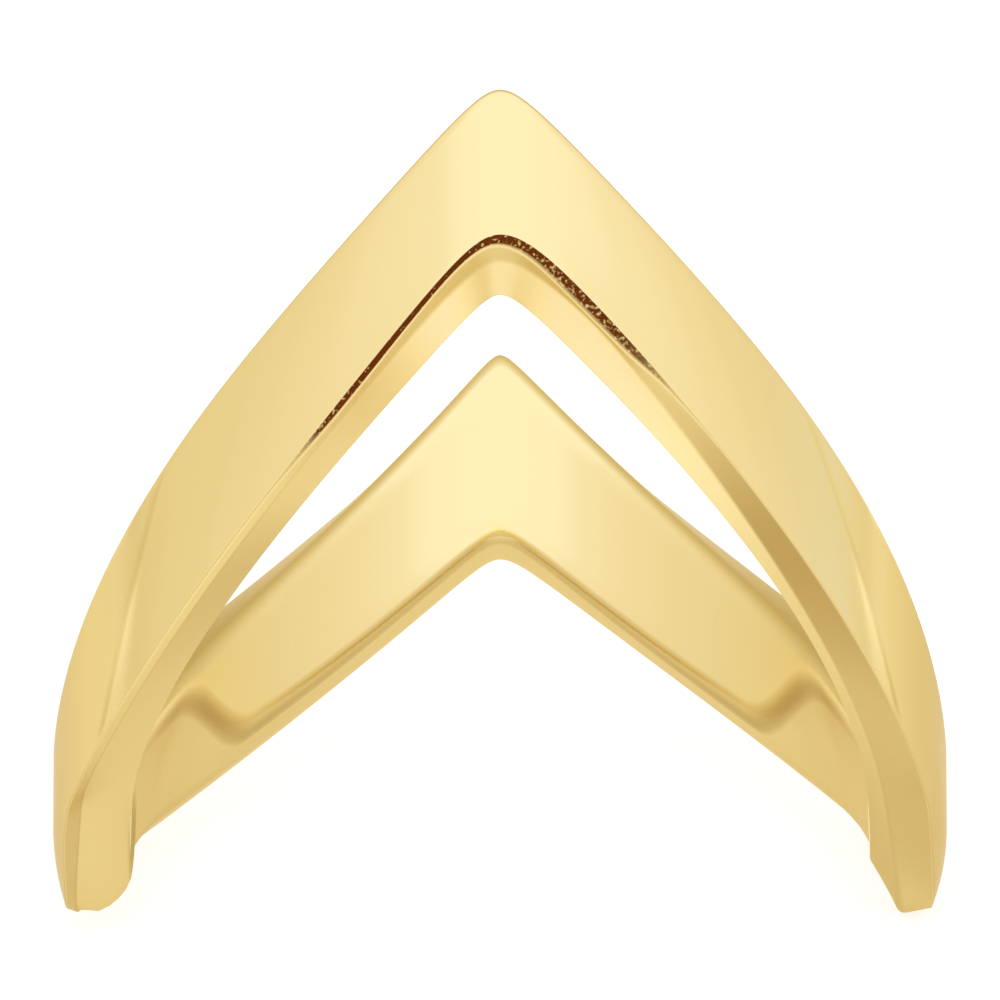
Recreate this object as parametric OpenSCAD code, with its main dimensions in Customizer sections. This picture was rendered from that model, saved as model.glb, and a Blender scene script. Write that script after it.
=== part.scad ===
// Chevron ring: one solid band that peaks in a V at the front and at the back,
// with its two low points at the sides. It leans back as it rests on a table.

/* [Finger hole] */
// Radius of the round finger hole
hole_r = 8.65; // [8:0.05:11]
// Width of the slope that breaks the upper inner edge
inner_break = 0.22; // [0.05:0.01:0.35]

/* [Band] */
// Wall from the finger hole to the outer face
wall = 1.8; // [1.5:0.05:2.2]
// Width of the slope that breaks the upper outer edge
outer_break = 0.1; // [0.05:0.01:0.3]
// How far the polished front arms swell out of the round
front_swell = 0.2; // [0:0.01:0.4]
// Angle from the front at which the swollen arm ends along its lower edge
arm_end_low = 63; // [55:1:70]
// Angle from the front at which the left arm ends along its upper edge
arm_end_left = 49; // [40:1:55]
// Angle from the front at which the right arm ends along its upper edge
arm_end_right = 43; // [40:1:55]
// Angle over which the swell grows to its full size
arm_blend = 16; // [8:1:25]

/* [Heights] */
// Height of the front peak's upper edge over the low points
front_top = 15.7; // [13:0.05:18]
// Height of the back peak's upper edge over the low points
back_top = 15.9; // [13:0.05:18]
// Height of the front peak's outer lower edge
front_ridge = 12.1; // [10:0.05:13]
// Height of the back peak's outer lower edge
back_ridge = 11.22; // [10:0.05:13]
// Height of the front peak's inner lower edge
front_inner = 11.23; // [9:0.05:12]
// Height of the back peak's inner lower edge
back_inner = 11.1; // [9:0.05:12]

/* [Lines round the band] */
// Front half of each line: height at the side, roundness at the peak and at the side, bow to the left and right
front_lines = [
    // name, side, peak_round, side_round, bow_left, bow_right
    ["top", 2.89, 0.044, 0.034, 0.35, 0.25],
    ["ridge", 0.25, 0.058, 0.5, 0.18, -0.03],
    ["inner", 1.35, 0.046, 0.035, 0.55, 0.36],
];
// Back half of each line, in the same columns
back_lines = [
    ["top", 2.89, 0.02, 0.034, 0.28, 0.16],
    ["ridge", 0.25, 0.025, 0.41, 0.02, -0.12],
    ["inner", 1.35, 0.052, 0.035, 0.38, 0.28],
];

/* [Feet] */
// Angle from the front at which the low point of each side lies
foot_angle = 89; // [84:0.5:94]
// Half of the angle over which the outer lower edge dips to that low point
foot_spread = 10; // [6:0.5:16]
// How far the outer lower edge dips there
foot_drop = 1; // [0:0.05:1.4]
// Angle from the front at which the inner lower edge is lowest
inner_foot_angle = 93; // [88:0.5:96]
// Half of the angle over which the inner lower edge dips
inner_foot_spread = 6.3; // [4:0.5:12]
// How far the inner lower edge dips there
inner_foot_drop = 1.3; // [0:0.05:1.6]

/* [Underside] */
// Radius at which the underside turns from its outer to its inner slope, round the ring
turn_rows = [
    // angle from the front, radius
    [-180, 9.9], [-115, 9.75], [-90, 9.35], [-65, 10.05], [-20, 10.1], [0, 10.1],
    [20, 9.8], [45, 9.35], [70, 9.15], [90, 9.3], [115, 9.7], [180, 9.9],
];
// How far that turn lies below the straight line between the two lower edges
turn_drop_rows = [
    [-180, 0.1], [-108, 0.25], [-98, 0.6], [-84, 0.6], [-72, 0.2], [0, 0.15],
    [72, 0.2], [84, 0.6], [98, 0.6], [108, 0.25], [180, 0.1],
];
// How far the outer lower edge is drawn in from the outer face
ridge_in_rows = [
    [-180, 0.1], [-110, 0.15], [-95, 0.25], [-80, 0.22], [-66, 0.03], [-55, 0],
    [55, 0], [66, 0.06], [78, 0.32], [95, 0.38], [110, 0.2], [180, 0.1],
];

// Width of the narrow bevel along the outer lower edge
bevel_rows = [
    [-180, 0.03], [-70, 0.03], [-40, 0.12], [-12, 0.13], [0, 0.19], [10, 0.28],
    [24, 0.28], [40, 0.1], [70, 0.03], [180, 0.03],
];
// Slope of that bevel, as its share inward and its share down
bevel_slope = [0.43, 0.9];

/* [Flares behind the feet] */
// Angle from the front at which the lower edge of the hole's wall starts to climb
flare_near = 91; // [86:1:93]
// Angle at which it reaches the rim
flare_near_full = 98; // [95:1:105]
// Angle at which it leaves the rim again
flare_far_full = 119; // [108:1:125]
// Angle at which it is back at the lower edge
flare_far = 138; // [125:1:150]
// Height of wall left under the rim there
flare_wall = 0.5; // [0.4:0.05:1]

/* [Rest] */
// Angle by which the ring leans back on its two low points and the back's lower edge
lean = 37.3; // [30:0.1:45]
// Angle by which it leans to its left, as its two sides are not quite alike
side_lean = 1.1; // [0:0.1:2]

/* [Hidden] */
outer_r = hole_r + wall;
// Sections round the ring, packed closer at the two peaks and the two feet
sections = 136;
packing = 0.62;
// Points up the outer face, as shares of its height
face_shares = [0.12, 0.3, 0.5, 0.7, 0.88];
// How far the shell runs into the hole before the hole is cut
overcut = 0.6;
// How far its edges pass the hole's wall before they level off
skim = 0.03;
hole_cut_h = 60;
eighth = 45;
quarter = 90;
half = 180;

column_side = 1;
column_peak_round = 2;
column_side_round = 3;
column_bow_left = 4;
column_bow_right = 5;

// Runs from 0 to 1, level at 0 and straight beyond the rounding
function soft(t, round_t) =
    (sqrt(t * t + round_t * round_t) - round_t) / (sqrt(1 + round_t * round_t) - round_t);

function row_named(rows, name) = [for (row = rows) if (row[0] == name) row][0];

// Height of one line at an angle from the front, counted positive to the right
function line_z(name, peak_front, peak_back, angle) =
    let (at_back = abs(angle) > quarter,
         row = row_named(at_back ? back_lines : front_lines, name),
         peak = at_back ? peak_back : peak_front,
         t = (at_back ? half - abs(angle) : abs(angle)) / quarter,
         bow = angle < 0 ? row[column_bow_left] : row[column_bow_right],
         bowed = min(1, t + bow * t * (1 - t)),
         fall = soft(bowed, row[column_peak_round]),
         rise = soft(1 - fall, row[column_side_round]))
    row[column_side] + (peak - row[column_side]) * rise;

function top_z(angle) = line_z("top", front_top, back_top, angle);

// Runs from 1 at the middle of a foot to 0 away from it, flat at both
function foot(angle, middle, spread) = exp(-pow((abs(angle) - middle) / spread, 4));

function ridge_z(angle) = line_z("ridge", front_ridge, back_ridge, angle)
    - foot_drop * foot(angle, foot_angle, foot_spread);
function inner_z(angle) = line_z("inner", front_inner, back_inner, angle)
    - inner_foot_drop * foot(angle, inner_foot_angle, inner_foot_spread);

// Goes from 0 to 1, level at both ends
function smooth(t) = let (held = min(1, max(0, t))) held * held * (3 - 2 * held);

// 1 where the hole's wall is flared up to the rim, 0 where it isn't
function flared(angle) =
    smooth((abs(angle) - flare_near) / (flare_near_full - flare_near))
    * smooth((flare_far - abs(angle)) / (flare_far - flare_far_full));

// Swell of the front arm at a share of the face's height
function swell(angle, share) =
    let (end_top = angle < 0 ? arm_end_left : arm_end_right,
         arm_end = arm_end_low + (end_top - arm_end_low) * share,
         grown = max(0, (arm_end - abs(angle)) / arm_blend))
    front_swell * (1 - exp(-grown)) * 4 * share * (1 - share);

function face_r(angle, share) =
    let (ridge_in = lookup(angle, ridge_in_rows),
         near_ridge = max(0, 1 - share / face_shares[2]))
    outer_r - ridge_in * near_ridge * near_ridge + swell(angle, share);

// One section of the band as pairs of radius and height, up the outside and down the inside
function section(angle) =
    let (top = top_z(angle),
         ridge = ridge_z(angle),
         plain_inner = inner_z(angle),
         ridge_r = face_r(angle, 0),
         turn_r = lookup(angle, turn_rows),
         turn_share = (turn_r - hole_r) / (ridge_r - hole_r),
         turn = plain_inner + (ridge - plain_inner) * turn_share - lookup(angle, turn_drop_rows),
         inner = plain_inner + (top - flare_wall - plain_inner) * flared(angle),
         inner_slope = (turn - inner) / (turn_r - hole_r),
         bevel = bevel_slope * lookup(angle, bevel_rows),
         face_top = top - outer_break)
    concat(
        [[hole_r - overcut, inner - inner_slope * skim]],
        [[hole_r - skim, inner - inner_slope * skim]],
        [[turn_r, turn]],
        [[ridge_r - bevel.x, ridge - bevel.y]],
        [[ridge_r, ridge]],
        [for (share = face_shares) [face_r(angle, share), ridge + (face_top - ridge) * share]],
        [[outer_r, face_top]],
        [[outer_r - outer_break, top]],
        [[hole_r + inner_break, top]],
        [[hole_r - skim, top - inner_break - skim]],
        [[hole_r - overcut, top - inner_break - skim]]
    );

// Angles from the front, one for each section
angles = [for (i = [0 : sections - 1])
    let (even = -half + 2 * half * i / sections)
    even - packing * sin(4 * even) * eighth / PI];

rings = [for (angle = angles) section(angle)];
ring_size = len(rings[0]);

upright_points = [for (i = [0 : sections - 1]) for (rz = rings[i])
    [rz[0] * sin(angles[i]), -rz[0] * cos(angles[i]), rz[1]]];

function wrap(i, j) = (i % sections) * ring_size + (j % ring_size);
band_faces = [for (i = [0 : sections - 1]) for (j = [0 : ring_size - 1]) each [
    [wrap(i, j), wrap(i, j + 1), wrap(i + 1, j + 1)],
    [wrap(i, j), wrap(i + 1, j + 1), wrap(i + 1, j)],
]];

// A point of the upright ring after the side lean and then the lean back
function side_leaned(p) =
    [p.x * cos(side_lean) + p.z * sin(side_lean), p.y, p.z * cos(side_lean) - p.x * sin(side_lean)];
function leaned(p) = [p.x, p.y * cos(lean) + p.z * sin(lean), p.z * cos(lean) - p.y * sin(lean)];

// Where the leaning ring's outer points reach, to seat it on the table
leaning_points = [for (p = upright_points) if (norm([p.x, p.y]) >= hole_r) leaned(side_leaned(p))];
low_z = min([for (p = leaning_points) p.z]);
mid_x = (min([for (p = leaning_points) p.x]) + max([for (p = leaning_points) p.x])) / 2;
mid_y = (min([for (p = leaning_points) p.y]) + max([for (p = leaning_points) p.y])) / 2;

module upright_band() {
    difference() {
        polyhedron(points = upright_points, faces = band_faces, convexity = 8);
        translate([0, 0, -hole_cut_h / 2])
            cylinder(h = hole_cut_h, r = hole_r, $fn = 192);
    }
}

module band() {
    color("#EBCF82")
        translate([-mid_x, -mid_y, -low_z])
            rotate([-lean, 0, 0])
                rotate([0, side_lean, 0])
                    upright_band();
}

band();
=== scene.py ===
import math

import bpy
from mathutils import Matrix, Vector


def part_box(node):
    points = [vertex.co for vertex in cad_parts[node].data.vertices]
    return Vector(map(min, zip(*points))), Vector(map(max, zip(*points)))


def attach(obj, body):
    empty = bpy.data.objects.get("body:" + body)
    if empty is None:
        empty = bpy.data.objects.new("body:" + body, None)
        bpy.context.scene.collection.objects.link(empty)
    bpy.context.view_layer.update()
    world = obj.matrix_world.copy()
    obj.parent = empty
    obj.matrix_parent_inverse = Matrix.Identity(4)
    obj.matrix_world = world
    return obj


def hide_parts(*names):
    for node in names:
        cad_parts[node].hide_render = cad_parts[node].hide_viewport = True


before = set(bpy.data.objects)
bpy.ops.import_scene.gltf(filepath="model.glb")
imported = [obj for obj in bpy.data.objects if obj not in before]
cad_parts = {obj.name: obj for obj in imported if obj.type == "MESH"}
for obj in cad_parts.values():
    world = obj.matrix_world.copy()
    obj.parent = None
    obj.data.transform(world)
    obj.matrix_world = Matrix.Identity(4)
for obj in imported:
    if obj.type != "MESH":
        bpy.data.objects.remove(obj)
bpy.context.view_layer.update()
print("frame loaded")

mm = 0.001  # the lists below are in millimetres and degrees

# The ring stands upright while its shape is worked out, with its front at -Y,
# and angles are counted from the front, positive to the right.
band = {
    "hole": 8.65,
    "outer": 10.45,
    # height of each line at the front peak, at the back peak and at the sides
    "top": {"front": 15.7, "back": 15.9, "side": 2.89},
    "ridge": {"front": 12.1, "back": 11.22, "side": 0.25},
    "inner": {"front": 11.23, "back": 11.1, "side": 1.35},
    # rounding at the peak, rounding at the side, bow of the left arm, bow of the right arm
    "frontShape": {
        "top": (0.044, 0.034, 0.35, 0.25),
        "ridge": (0.058, 0.5, 0.18, -0.03),
        "inner": (0.046, 0.035, 0.55, 0.36),
    },
    "backShape": {
        "top": (0.02, 0.034, 0.28, 0.16),
        "ridge": (0.025, 0.41, 0.02, -0.12),
        "inner": (0.052, 0.035, 0.38, 0.28),
    },
    # the low feet: drop, angle, spread and how square the dip is
    "ridgeFoot": (1.0, 89, 10, 4),
    "innerFoot": (1.1, 94, 8.5, 2),
    # radius of the crease between the two undercut strips, and its drop below them
    "turnRadius": [(-180, 9.9), (-115, 9.75), (-104, 9.8), (-90, 9.9), (-80, 9.97), (-73, 10.1),
                   (-62, 10.12), (-40, 10.1), (-20, 9.95), (-3, 9.88), (6, 9.92), (13, 9.98),
                   (20, 9.85), (45, 9.35), (70, 9.15), (90, 9.3), (115, 9.7), (180, 9.9)],
    "turnDrop": [(-180, 0.1), (-126, 0.12), (-121, 0.28), (-117, 0.55), (-112, 0.75), (-104, 0.6),
                 (-96, 0.36), (-89, 0.28), (-83, 0.12), (-79, -0.08), (-73, 0), (-60, 0.1), (0, 0.15),
                 (72, 0.2), (84, 0.6), (98, 0.75), (108, 0.8), (114, 0.75), (118, 0.45),
                 (122, 0.25), (127, 0.12), (180, 0.1)],
    # the inner strip bulges round the left foot
    "bulge": [(-180, 0), (-108, 0), (-97, 0.44), (-89, 0.46), (-78, 0.1), (-70, 0), (180, 0)],
    # the narrow bevel under the lower edge: how far in and how far down
    "bevelIn": [(-180, 0.01), (-30, 0.03), (-20, 0.08), (-5, 0.09), (3, 0.11), (16, 0.13),
                (24, 0.04), (35, 0.01), (180, 0.01)],
    "bevelDown": [(-180, 0.03), (-32, 0.05), (-22, 0.22), (-5, 0.2), (3, 0.31), (9, 0.41),
                  (16, 0.33), (22, 0.12), (30, 0.03), (180, 0.03)],
    # between the back arms and the feet the hole's wall flares out and its lower edge
    # climbs to the rim: angles where the climb starts and is full, from foot and from back
    "flare": (91, 98, 119, 138),
    "flareWall": 0.5,
    # how far the lower edge is rubbed back from the outer face
    "ridgeIn": [(-180, 0.1), (-110, 0.15), (-95, 0.27), (-90, 0.3), (-84, 0.24), (-80, 0.12),
                (-75, 0.03), (-55, 0), (55, 0), (66, 0.04), (76, 0.16), (84, 0.28), (95, 0.34),
                (110, 0.2), (180, 0.1)],
    # the face steps back beside the peak, and the step fades out toward the sides
    "peakDip": 0.15,
    "peakWidth": 9,
    "peakDipFade": (15, 50),
    # the arms swell a little and end on slanted creases
    "swell": 0.2,
    "swellLength": 16,
    "swellStart": (8, 40),
    "armEndLow": 63,
    "armEndLeft": 49,
    "armEndRight": 43,
    "creaseReach": (48, 27),  # how far the columns are moved, before and behind the crease
    # painted shade along the crease at each arm's end, and its width
    "creaseShade": 0.7,
    "creaseWidth": 0.6,
    "ridgeInShare": 0.5,  # how far up the face the rubbed lower edge reaches
    "roundingLimit": 0.42,  # the most of a run that a rounding may take
    # how far from each corner its rounding starts
    "edges": {
        "inner": [(-180, 0.3), (-150, 0.42), (-132, 0.5), (-118, 0.5), (-104, 0.25), (-90, 0.07),
                  (-72, 0.05), (0, 0.06), (72, 0.05), (90, 0.07), (104, 0.25), (118, 0.5),
                  (132, 0.5), (150, 0.42), (180, 0.3)],
        "turn": [(-180, 0.5), (-122, 0.4), (-112, 0.25), (-104, 0.25), (-97, 0.08), (-60, 0.05),
                 (-20, 0.08), (0, 0.1), (20, 0.08), (60, 0.08), (84, 0.12), (96, 0.2), (112, 0.2),
                 (122, 0.4), (180, 0.5)],
        "bevel": [(-180, 0.05), (180, 0.05)],
        "ridge": [(-180, 0.06), (-100, 0.08), (-84, 0.06), (-60, 0.02), (60, 0.02), (84, 0.06),
                  (100, 0.08), (180, 0.06)],
        "top": [(-180, 0.1), (180, 0.1)],
        "rim": [(-180, 0.45), (-120, 0.4), (-90, 0.2), (90, 0.2), (120, 0.4), (180, 0.45)],
    },
    # roughness from polished (0) to satin (1) on each run and on the edge before it
    "satin": {
        "inner": [(-180, 1), (-100, 1), (-85, 0.8), (-20, 0.8), (20, 0.8), (85, 0.8), (100, 1),
                  (180, 1)],
        "turn": [(-180, 1), (-60, 0.9), (60, 0.9), (180, 1)],
        "bevel": [(-180, 1), (-70, 1), (-45, 0.3), (45, 0.3), (70, 1), (180, 1)],
        "ridge": [(-180, 0.65), (-62, 0.65), (-51, 0), (51, 0), (62, 0.65), (180, 0.65)],
        "top": [(-180, 0.65), (-62, 0.65), (-51, 0), (51, 0), (62, 0.65), (180, 0.65)],
        "rim": [(-180, 0.1), (-150, 0.25), (-135, 0.8), (-90, 0.8), (-60, 0.1), (60, 0.1),
                (90, 0.8), (135, 0.8), (150, 0.25), (180, 0.1)],
    },
    # painted light on the gold's colour, in the same way: from a painted highlight (-1) over the
    # gold's own pale (0) to painted shade in rich (1) and dark gold (2), darker on the undercut
    # strips, the sides and the folds and brighter near the peaks
    "shadeAndHighlight": {
        "inner": [(-180, 1), (-100, 1.1), (-88, 1.05), (-60, 1.15), (-40, 1.3), (-27, 0.75),
                  (-18, 0.5), (-8, -0.25), (0, 0.6), (8, -0.25), (22, -0.1), (45, 0.8), (60, 1),
                  (88, 1.3), (100, 1.1), (180, 1)],
        "turn": [(-180, 1), (-100, 1.1), (-88, 1.3), (-75, 1.25), (-60, 1.1), (-20, 0.9), (0, 1.1),
                 (20, 1), (38, 1.6), (50, 1.55), (62, 1.3), (80, 1.35), (90, 1.15), (180, 1)],
        "bevel": [(-180, 1), (-60, 1), (-40, 0.7), (40, 0.7), (60, 1), (180, 1)],
        "ridge": [(-180, 1), (-85, 1.3), (-62, 0.85), (-50, 0.1), (-20, 0.1), (0, 0), (30, 0),
                  (40, -0.12), (50, -0.2), (62, 1), (85, 1.3), (180, 1)],
        "top": [(-180, 1), (-85, 1.3), (-62, 0.85), (-50, 0.1), (-20, 0.1), (0, 0), (40, -0.1),
                (50, -0.2), (62, 1), (85, 1.3), (180, 1)],
        "rim": [(-180, 0), (-140, 0), (-115, 0.3), (-90, 0), (90, 0), (115, 0.3), (140, 0),
                (180, 0)],
    },
    # painted shade added in the middle of an edge's rounding, a darker line along the edge
    "line": {
        "inner": [(-180, 0.7), (-150, 0.9), (-136, 0.9), (-120, 0.7), (-108, 0.4), (-95, 0.5),
                  (-60, 0.5), (60, 0.5), (95, 0.5), (108, 0.4), (120, 0.7), (136, 0.9), (150, 0.9),
                  (180, 0.7)],
        "turn": [(-180, 0), (-90, 0.2), (-60, 0.2), (60, 0.1), (180, 0)],
        "bevel": [(-180, 0), (180, 0)],
        "ridge": [(-180, 0), (-90, 0.5), (-60, 0.3), (0, 0), (60, 0.3), (90, 0.5), (180, 0)],
        "top": [(-180, 0.3), (-90, 0.3), (-40, 0.8), (40, 0.8), (90, 0.3), (180, 0.3)],
        "rim": [(-180, 0.2), (180, 0.2)],
    },
    # painted dark brown reflection in the bevel under the peak: specked at 1, solid where it is more
    "paintedReflection": [(-180, 0), (-29, 0), (-24, 1), (-18, 4), (-12, 7), (-6, 4), (-1, 1.8), (3, 1.15),
                (8, 1), (15, 1), (19, 0.8), (24, 0), (180, 0)],
    "paintedReflectionEdge": 0.7,  # how far the painted dark reflection climbs round the lower edge
    "columns": 480,
    "packing": 0.62,  # how much closer the columns stand at the peaks and the feet
    "weld": 0.0005,
}
rest = {"lean": 37.3, "sideLean": 1.1}


def between(rows, angle):
    # smooth curve through a list of (angle, value)
    last = len(rows) - 1
    i = max(k for k in range(last) if rows[k][0] <= angle or k == 0)
    (x0, y0), (x1, y1) = rows[i], rows[i + 1]

    def slope(k):
        low, high = rows[max(0, k - 1)], rows[min(last, k + 1)]
        return (high[1] - low[1]) / (high[0] - low[0])

    width = x1 - x0
    t = (angle - x0) / width
    return ((2 * t**3 - 3 * t**2 + 1) * y0 + (t**3 - 2 * t**2 + t) * width * slope(i)
            + (3 * t**2 - 2 * t**3) * y1 + (t**3 - t**2) * width * slope(i + 1))


def soft(t, rounding):
    # from 0 to 1, level at 0 and straight beyond the rounding
    return ((math.sqrt(t * t + rounding * rounding) - rounding)
            / (math.sqrt(1 + rounding * rounding) - rounding))


def lineHeight(name, angle):
    atBack = abs(angle) > 90
    peakRound, sideRound, bowLeft, bowRight = band["backShape" if atBack else "frontShape"][name]
    peak = band[name]["back" if atBack else "front"]
    side = band[name]["side"]
    t = (180 - abs(angle) if atBack else abs(angle)) / 90
    t = min(1, t + (bowLeft if angle < 0 else bowRight) * t * (1 - t))
    height = side + (peak - side) * soft(1 - soft(t, peakRound), sideRound)
    if name != "top":
        drop, middle, spread, power = band[name + "Foot"]
        height -= drop * math.exp(-(abs((abs(angle) - middle) / spread)) ** power)
    return height


def smooth(t):
    t = min(1, max(0, t))
    return t * t * (3 - 2 * t)


def flared(angle):
    # 1 where the hole's wall is flared up to the rim, 0 where it isn't
    nearStart, nearFull, farFull, farStart = band["flare"]
    return (smooth((abs(angle) - nearStart) / (nearFull - nearStart))
            * smooth((farStart - abs(angle)) / (farStart - farFull)))


def armEndAt(angle, share):
    endTop = band["armEndLeft"] if angle < 0 else band["armEndRight"]
    return band["armEndLow"] + (endTop - band["armEndLow"]) * share


def faceRadius(angle, share):
    grown = max(0, (armEndAt(angle, share) - abs(angle)) / band["swellLength"])
    start, full = band["swellStart"]
    grown = (1 - math.exp(-grown)) * smooth((abs(angle) - start) / (full - start))
    nearRidge = max(0, 1 - share / band["ridgeInShare"])
    fadeStart, fadeEnd = band["peakDipFade"]
    dip = band["peakDip"] * (1 - math.exp(-((angle / band["peakWidth"]) ** 2)))
    return (band["outer"] - dip * smooth((fadeEnd - abs(angle)) / (fadeEnd - fadeStart))
            - between(band["ridgeIn"], angle) * nearRidge**2
            + band["swell"] * grown * 4 * share * (1 - share))


cornerCache = {}


def corners(angle):
    # the section's six corners as (radius, height)
    if angle not in cornerCache:
        top, ridge, inner = (lineHeight(n, angle) for n in ("top", "ridge", "inner"))
        hole, ridgeRadius = band["hole"], faceRadius(angle, 0)
        turnRadius = between(band["turnRadius"], angle)
        along = (turnRadius - hole) / (ridgeRadius - hole)
        turn = inner + (ridge - inner) * along - between(band["turnDrop"], angle)
        inner += (top - band["flareWall"] - inner) * flared(angle)
        inward, down = between(band["bevelIn"], angle), between(band["bevelDown"], angle)
        cornerCache[angle] = {
            "inner": Vector((hole, inner)), "turn": Vector((turnRadius, turn)),
            "bevel": Vector((ridgeRadius - inward, ridge - down)),
            "ridge": Vector((ridgeRadius, ridge)), "top": Vector((faceRadius(angle, 1), top)),
            "rim": Vector((hole, top)),
        }
    return cornerCache[angle]


def facePoint(angle, share):
    c = corners(angle)
    height = c["ridge"].y + (c["top"].y - c["ridge"].y) * share
    return Vector((faceRadius(angle, share), height))


order = ["inner", "turn", "bevel", "ridge", "top", "rim"]
# each edge's rounding in steps, then the rows on the run after it
rowPlan = {"inner": (7, 5), "turn": (7, 3), "bevel": (4, 2), "ridge": (4, 16), "top": (4, 3),
           "rim": (5, 7)}
# how far each row follows the slant of the arm's end, from 0 at the lower edge to 1 at the top
slant = {"inner": (0, 0), "turn": (0, 0), "bevel": (0, 0), "ridge": (0, 1), "top": (1, 1),
         "rim": (1, 0)}


def makeRows():
    rows = []
    for name in order:
        steps, run = rowPlan[name]
        start, end = slant[name]
        rows += [(name, "edge", k / (steps - 1), start) for k in range(steps)]
        for k in range(1, run + 1):
            t = k / (run + 1)
            rows.append((name, "run", t, start + (end - start) * t))
    return rows


def profilePoint(angle, row):
    name, kind, t, _ = row
    c = corners(angle)
    at = order.index(name)
    before, after = order[at - 1], order[(at + 1) % len(order)]

    def cut(edge, toward):
        # where the rounding of one edge meets the run toward another
        length = (c[edge] - c[toward]).length
        share = min(between(band["edges"][edge], angle) / length, band["roundingLimit"])
        if {edge, toward} == {"ridge", "top"}:
            return facePoint(angle, share if edge == "ridge" else 1 - share)
        return c[edge].lerp(c[toward], share)

    if kind == "edge":
        a, b, d = cut(name, before), c[name], cut(name, after)
        return a * (1 - t) ** 2 + b * 2 * t * (1 - t) + d * t**2
    start, end = cut(name, after), cut(after, name)
    if name == "ridge":
        height = c["top"].y - c["ridge"].y
        low = (start.y - c["ridge"].y) / height
        high = (end.y - c["ridge"].y) / height
        return facePoint(angle, low + (high - low) * t)
    point = start.lerp(end, t)
    if name == "inner":
        run = end - start
        outward = Vector((run.y, -run.x)).normalized()
        point += outward * between(band["bulge"], angle) * 2 * math.sqrt(t * (1 - t))
    return point


def finishAndShadeAt(kindOfValue, angle, lead, row):
    # the run's own value (roughness, or painted highlight and shade), blended across the edge before
    # it;
    # lead is the column's angle before it is slanted, so that the crease's painted shade stays in its
    # own column
    name, kind, t, _ = row
    rows = band[kindOfValue]
    value = between(rows[name], angle)
    if kind == "edge":
        before = between(rows[order[order.index(name) - 1]], angle)
        value = before + (value - before) * t
        if kindOfValue == "shadeAndHighlight":
            # painted shade line along the middle of the edge's rounding
            value += between(band["line"][name], angle) * 4 * t * (1 - t)
    elif name == "ridge" and kindOfValue == "shadeAndHighlight":
        # painted shade along the crease where the arm ends
        away = abs(lead) - band["armEndLow"]
        value += band["creaseShade"] * math.exp(-((away / band["creaseWidth"]) ** 2))
    return value


# the painted dark brown reflection under the peak, on the bevel's run and round the lower edge
def paintedReflectionAt(angle, row):
    name, kind, t, _ = row
    onBevel = name == "bevel" and kind == "run"
    onEdge = name == "ridge" and kind == "edge" and t < band["paintedReflectionEdge"]
    return between(band["paintedReflection"], angle) if onBevel or onEdge else 0.0


def columnAngle(i):
    # the columns are packed closer every quarter turn
    even = -180 + 360 * i / band["columns"]
    return even - band["packing"] * math.sin(math.radians(4 * even)) * 45 / math.pi


def slantedAngle(angle, follow):
    # moves the columns near an arm's end so that one runs along its crease
    end = band["armEndLeft"] if angle < 0 else band["armEndRight"]
    before, behind = band["creaseReach"]
    away = abs(angle) - band["armEndLow"]
    away /= behind if away > 0 else before
    weight = max(0, 1 - away * away) ** 2
    shift = (end - band["armEndLow"]) * follow * weight
    return angle + shift * math.copysign(1, angle)


lean, sideLean = math.radians(rest["lean"]), math.radians(rest["sideLean"])
leanBack = Matrix(((1, 0, 0), (0, math.cos(lean), math.sin(lean)),
                   (0, -math.sin(lean), math.cos(lean))))
leanSide = Matrix(((math.cos(sideLean), 0, math.sin(sideLean)), (0, 1, 0),
                   (-math.sin(sideLean), 0, math.cos(sideLean))))
upright = leanBack @ leanSide


def atAngle(point, angle):
    a = math.radians(angle)
    return Vector((point.x * math.sin(a), -point.x * math.cos(a), point.y))


def hexColor(text):
    # sRGB hex to linear
    parts = [int(text[i:i + 2], 16) / 255 for i in (1, 3, 5)]
    return tuple(p / 12.92 if p <= 0.04045 else ((p + 0.055) / 1.055) ** 2.4
                 for p in parts) + (1,)


def addNode(tree, kind, links=None, **settings):
    # links: input name or number -> (node, output name or number) or a value
    node = tree.nodes.new(kind)
    for key, value in settings.items():
        setattr(node, key, value)
    for socket, source in (links or {}).items():
        if isinstance(source, tuple) and isinstance(source[0], bpy.types.Node):
            tree.links.new(source[0].outputs[source[1]], node.inputs[socket])
        else:
            node.inputs[socket].default_value = source
    return node


goldLook = {
    # colour ramp: bright is a painted highlight, pale the gold's own colour, rich and dark painted
    # shade
    "bright": "#FFFDF0",
    "pale": "#FFEFB7",
    "rich": "#E3CC89",
    "dark": "#9C7526",
    "paintedReflection": "#6E3610",
    "polishedRoughness": 0.1,
    "satinRoughness": 0.42,
    "grazing": "#F8F0D6",  # keeps the gold warm where it is seen edge-on
    "speckSize": 0.09,  # mm, bright specks in the painted dark reflection
    "speckFrom": 0.53,  # noise value where a speck begins, and where it is bare
    "speckFull": 0.66,
    "speckBrown": 0.1,  # share of the painted dark reflection left on a bare speck
    "brushLength": 1.2,  # mm, of the fine polishing marks
    "brushWidth": 0.06,
    "brushDepth": 0.0012,
    "hazeSize": 2.5,  # mm
    "haze": 0.06,
}
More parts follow.
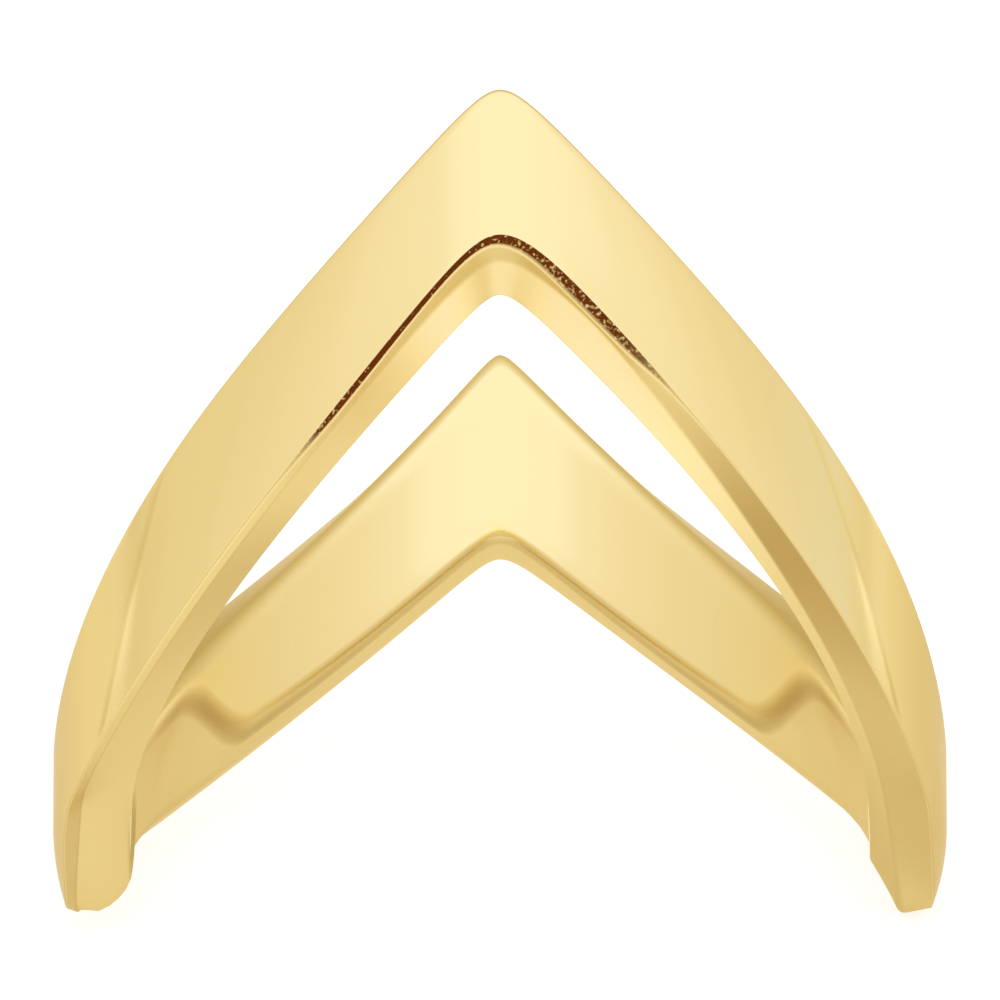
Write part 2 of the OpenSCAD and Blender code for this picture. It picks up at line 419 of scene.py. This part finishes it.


# Cast 14 karat yellow gold, polished outside and satin underneath: warm hazy reflections and fine
# polishing marks.
# Its colour carries painted shade in the creases and undercut strips, painted highlights near the
# peaks and a painted dark brown reflection under the peak.
def goldMaterial():
    mat = bpy.data.materials.new("polished cast gold")
    mat.use_nodes = True
    tree = mat.node_tree
    tree.nodes.clear()
    out = addNode(tree, "ShaderNodeOutputMaterial")
    satin = addNode(tree, "ShaderNodeAttribute", attribute_name="satin")
    shadeAndHighlight = addNode(tree, "ShaderNodeAttribute", attribute_name="shadeAndHighlight")
    paintedReflection = addNode(tree, "ShaderNodeAttribute", attribute_name="paintedReflection")
    coords = addNode(tree, "ShaderNodeTexCoord")
    # the per-vertex painted highlight and shade picks the base colour: bright is a painted highlight,
    # pale the gold's own colour, rich and dark painted shade
    depth = addNode(tree, "ShaderNodeMapRange", {0: (shadeAndHighlight, "Fac"), 1: -1.0, 2: 2.0})
    color = addNode(tree, "ShaderNodeValToRGB", {0: (depth, 0)})
    stops = color.color_ramp.elements
    stops.new(0.333)
    stops.new(0.667)
    for stop, name in zip(stops, ("bright", "pale", "rich", "dark")):
        stop.color = hexColor(goldLook[name])
    # bright specks that break up the painted dark reflection
    specks = addNode(tree, "ShaderNodeTexNoise", {
        "Vector": (coords, "Object"), "Scale": 1 / (goldLook["speckSize"] * mm), "Detail": 3.0})
    unspecked = addNode(tree, "ShaderNodeMapRange", {
        0: (specks, 0), 1: goldLook["speckFrom"], 2: goldLook["speckFull"],
        3: 1.0, 4: goldLook["speckBrown"]})
    brown = addNode(tree, "ShaderNodeMath", {0: (paintedReflection, "Fac"), 1: (unspecked, 0)},
                    operation="MULTIPLY")
    # mixes the painted dark brown reflection into the gold's colour
    withReflection = addNode(tree, "ShaderNodeMix", {
        "Factor": (brown, 0), 6: (color, 0), 7: hexColor(goldLook["paintedReflection"])}, data_type="RGBA")
    # long thin marks: the noise is stretched along the width of the ring
    stretch = addNode(tree, "ShaderNodeMapping", {
        "Vector": (coords, "Object"),
        "Scale": (1 / (goldLook["brushLength"] * mm), 1 / (goldLook["brushWidth"] * mm),
                  1 / (goldLook["brushWidth"] * mm))})
    marks = addNode(tree, "ShaderNodeTexNoise", {
        "Vector": (stretch, 0), "Scale": 1.0, "Detail": 2.0})
    haze = addNode(tree, "ShaderNodeTexNoise", {
        "Vector": (coords, "Object"), "Scale": 1 / (goldLook["hazeSize"] * mm), "Detail": 3.0})
    blur = addNode(tree, "ShaderNodeMapRange", {
        0: (satin, "Fac"), 3: goldLook["polishedRoughness"], 4: goldLook["satinRoughness"]})
    hazed = addNode(tree, "ShaderNodeMath", {
        0: (haze, 0), 1: goldLook["haze"], 2: (blur, 0)},
                    operation="MULTIPLY_ADD")
    relief = addNode(tree, "ShaderNodeBump", {
        "Height": (marks, 0), "Distance": goldLook["brushDepth"] * mm, "Strength": 1.0})
    shader = addNode(tree, "ShaderNodeBsdfPrincipled", {
        "Base Color": (withReflection, 2), "Metallic": 1.0, "Roughness": (hazed, 0),
        "Specular Tint": hexColor(goldLook["grazing"]), "Normal": (relief, 0)})
    tree.links.new(shader.outputs[0], out.inputs[0])
    return mat


def makeBand():
    rows = makeRows()
    columns = band["columns"]
    lead = [columnAngle(i) for i in range(columns)]
    # the outer corners' box seats the ring on the floor, as it does in the frame
    leaning = [upright @ atAngle(p, a) for a in lead for p in corners(a).values()]
    low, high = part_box("band")
    ownLow = [min(p[k] for p in leaning) for k in range(3)]
    ownHigh = [max(p[k] for p in leaning) for k in range(3)]
    seatX = (low[0] + high[0]) / 2 / mm - (ownLow[0] + ownHigh[0]) / 2
    seatY = (low[1] + high[1]) / 2 / mm - (ownLow[1] + ownHigh[1]) / 2
    seatZ = low[2] / mm - ownLow[2]
    bpy.ops.mesh.primitive_grid_add(x_subdivisions=columns, y_subdivisions=len(rows), size=1)
    obj = bpy.context.object
    obj.name = "ring_band"
    satin, shadeAndHighlight, paintedReflection = (obj.data.attributes.new(n, "FLOAT", "POINT")
                            for n in ("satin", "shadeAndHighlight", "paintedReflection"))
    for v in obj.data.vertices:
        i = round((v.co.x + 0.5) * columns) % columns
        j = round((v.co.y + 0.5) * len(rows)) % len(rows)
        angle = slantedAngle(lead[i], rows[j][3])
        satin.data[v.index].value = finishAndShadeAt("satin", angle, lead[i], rows[j])
        # painted highlight and shade for this vertex
        shadeAndHighlight.data[v.index].value = finishAndShadeAt("shadeAndHighlight", angle, lead[i], rows[j])
        # painted dark reflection for this vertex
        paintedReflection.data[v.index].value = paintedReflectionAt(angle, rows[j])
        place = upright @ atAngle(profilePoint(angle, rows[j]), angle)
        v.co = (place + Vector((seatX, seatY, seatZ))) * mm
    bpy.ops.object.mode_set(mode="EDIT")
    bpy.ops.mesh.select_all(action="SELECT")
    bpy.ops.mesh.remove_doubles(threshold=band["weld"] * mm)
    bpy.ops.mesh.normals_make_consistent(inside=False)
    bpy.ops.object.mode_set(mode="OBJECT")
    bpy.ops.object.shade_smooth()
    obj.data.materials.append(goldMaterial())
    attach(obj, "root")
    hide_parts("band")
    print("band made:", len(obj.data.polygons), "faces")
    return Vector((seatX, seatY, seatZ))


seat = makeBand()

studio = {
    "floor": "#C4C6CC",
    "floorRoughness": 0.9,
    "floorSize": 4,  # metres
    "floorGlow": "#F6F8FF",  # lit from below, so that shadows stay faint
    "floorGlowStrength": 0.72,
    # the tent is brightest toward the camera and above it, and dimmer and warmer away from there
    "brightFrom": (5, 60),  # degrees to the right of the camera, degrees above the horizon
    # share of the way from the dimmest side to the brightest, and the colour there
    "tent": [(0.3, (0.80, 0.71, 0.52)), (0.65, (0.82, 0.74, 0.565)), (0.775, (0.86, 0.767, 0.605)),
             (0.875, (0.895, 0.813, 0.676)), (0.945, (0.94, 0.88, 0.79)), (0.972, (1.01, 1.0, 0.99)),
             (1, (1.03, 1.03, 1.03))],
}


def direction(rightOf, above):
    # from the ring, counted from the camera's side and the horizon
    a, e = math.radians(rightOf), math.radians(above)
    return Vector((math.sin(a) * math.cos(e), -math.cos(a) * math.cos(e), math.sin(e)))


def lookAt(obj, target, up):
    back = (obj.location - target).normalized()
    right = up.cross(back).normalized()
    turn = Matrix((right, back.cross(right), back)).transposed()
    obj.rotation_mode = "QUATERNION"
    obj.rotation_quaternion = turn.to_quaternion()


def floorMaterial():
    mat = bpy.data.materials.new("lit white acrylic")
    mat.use_nodes = True
    shader = mat.node_tree.nodes["Principled BSDF"]
    shader.inputs["Base Color"].default_value = hexColor(studio["floor"])
    shader.inputs["Roughness"].default_value = studio["floorRoughness"]
    shader.inputs["Emission Color"].default_value = hexColor(studio["floorGlow"])
    shader.inputs["Emission Strength"].default_value = studio["floorGlowStrength"]
    return mat


def makeStudio():
    world = bpy.context.scene.world or bpy.data.worlds.new("tent")
    bpy.context.scene.world = world
    world.use_nodes = True
    tree = world.node_tree
    tree.nodes.clear()
    coords = addNode(tree, "ShaderNodeTexCoord")
    toward = addNode(tree, "ShaderNodeVectorMath", {
        0: (coords, "Generated"), 1: direction(*studio["brightFrom"])}, operation="DOT_PRODUCT")
    spread = addNode(tree, "ShaderNodeMapRange", {
        0: (toward, "Value"), 1: -1.0, 2: 1.0, 3: 0.0, 4: 1.0})
    ramp = addNode(tree, "ShaderNodeValToRGB", {0: (spread, 0)})
    ramp.color_ramp.interpolation = "EASE"
    stops = ramp.color_ramp.elements
    while len(stops) < len(studio["tent"]):
        stops.new(0.5)
    for stop, (position, color) in zip(stops, studio["tent"]):
        stop.position = position
        stop.color = color + (1,)
    sky = addNode(tree, "ShaderNodeBackground", {"Color": (ramp, 0), "Strength": 1.0})
    addNode(tree, "ShaderNodeOutputWorld", {"Surface": (sky, 0)})

    bpy.ops.mesh.primitive_plane_add(size=studio["floorSize"], location=(0, 0, 0))
    floor = bpy.context.object
    floor.name = "floor"
    floor.data.materials.append(floorMaterial())
    print("studio made")


makeStudio()

shot = {
    "belowBand": 18.8,  # degrees of the sight line to the band's own plane
    "aimHeight": 9.18,  # of the point in the frame's middle, in the ring's own height
    "distance": 600,
    "pixelsPerMm": 42.57,
    "pictureWidth": 1000,  # pixels
    "sensor": 36,
    "clip": (0.01, 20),  # metres
}


def makeCamera():
    e = math.radians(shot["belowBand"])
    forward = upright @ Vector((0, math.cos(e), math.sin(e)))
    up = upright @ Vector((0, -math.sin(e), math.cos(e)))
    target = upright @ Vector((0, 0, shot["aimHeight"])) + seat
    bpy.ops.object.camera_add(location=(target - forward * shot["distance"]) * mm)
    cam = bpy.context.object
    cam.data.sensor_width = shot["sensor"]
    cam.data.lens = shot["sensor"] * shot["pixelsPerMm"] * shot["distance"] / shot["pictureWidth"]
    cam.data.clip_start, cam.data.clip_end = shot["clip"]
    lookAt(cam, target * mm, up)
    bpy.context.scene.camera = cam
    print("camera", round(math.degrees(math.asin(-forward.z)), 2), "degrees down")


makeCamera()
bpy.context.scene.view_settings.view_transform = "Standard"
